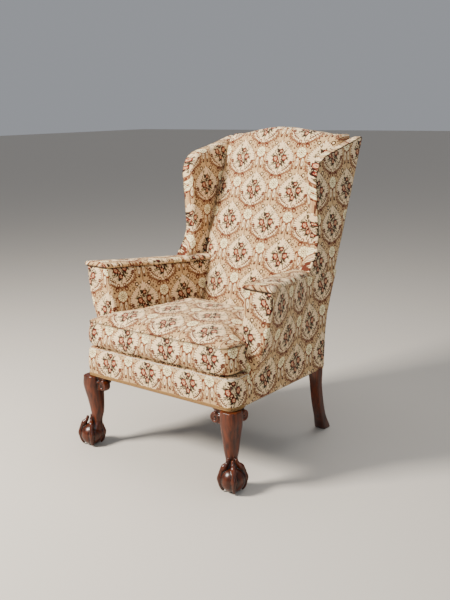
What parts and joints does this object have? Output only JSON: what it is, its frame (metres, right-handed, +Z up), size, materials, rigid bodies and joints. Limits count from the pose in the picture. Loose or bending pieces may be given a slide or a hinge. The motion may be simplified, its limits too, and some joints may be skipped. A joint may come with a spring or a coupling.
{
  "type": "wingback armchair",
  "caption": "Upholstered wingback armchair with a loose seat cushion, padded arms and wings, a serpentine crest, carved ball-and-claw front legs and swept rear legs.",
  "frame": {"origin": "on the floor under the middle of the chair's bounding box", "axes": "+Z up, +Y towards the back, +X to the right as seen from the front"},
  "size_m": [0.8292, 0.8484, 1.103],
  "materials": {
    "tapestry": "ribbed woven tapestry with flower medallions",
    "braid": "woven gimp braid",
    "lining": "plain dust cloth",
    "walnut": "polished carved walnut",
    "beech": "sawn beech",
    "webbing": "woven jute",
    "hessian": "coarse woven hessian",
    "spring_steel": "drawn wire",
    "screw_steel": "plain steel",
    "stuffing": "hair and cotton wadding"
  },
  "bodies": {
    "frame": {"arm_front_cover_left": "tapestry", "arm_front_cover_right": "tapestry", "arm_pad_left": "tapestry", "arm_pad_right": "tapestry", "arm_rail_left": "beech", "arm_rail_right": "beech", "arm_stuffing_left": "stuffing", "arm_stuffing_right": "stuffing", "arm_stump_left": "beech", "arm_stump_right": "beech", "back_canvas": "hessian", "back_post_left": "beech", "back_post_right": "beech", "back_stuffing": "stuffing", "back_tacking_rail": "beech", "back_webbing": "webbing", "bottom_cloth": "lining", "corner_block_screws": "screw_steel", "corner_blocks": "beech", "crest_rail": "beech", "frame_dowels": "beech", "front_border_cover": "tapestry", "front_braid": "braid", "front_leg_left": "walnut", "front_leg_right": "walnut", "front_rail": "beech", "inside_arm_cover_left": "tapestry", "inside_arm_cover_right": "tapestry", "inside_back_cover": "tapestry", "inside_wing_cover_left": "tapestry", "inside_wing_cover_right": "tapestry", "knee_ear_front_left": "walnut", "knee_ear_front_right": "walnut", "knee_ear_side_left": "walnut", "knee_ear_side_right": "walnut", "outside_back_cover": "tapestry", "outside_side_cover_left": "tapestry", "outside_side_cover_right": "tapestry", "platform_cover": "tapestry", "rear_leg_left": "walnut", "rear_leg_right": "walnut", "rear_rail": "beech", "seat_springs": "spring_steel", "seat_stuffing": "stuffing", "seat_webbing": "webbing", "side_rail_left": "beech", "side_rail_right": "beech", "spring_canvas": "hessian", "wing_post_left": "beech", "wing_post_right": "beech", "wing_stuffing_left": "stuffing", "wing_stuffing_right": "stuffing", "wing_top_rail_left": "beech", "wing_top_rail_right": "beech"},
    "seat_cushion": {"seat_cushion_cover": "tapestry", "seat_cushion_filling": "stuffing"}
  },
  "joints": [
    {"name": "cushion_lift", "type": "slide", "parent": "frame", "child": "seat_cushion", "axis": [0, -0.7071, 0.7071], "range_m": [0, 0.4]}
  ]
}
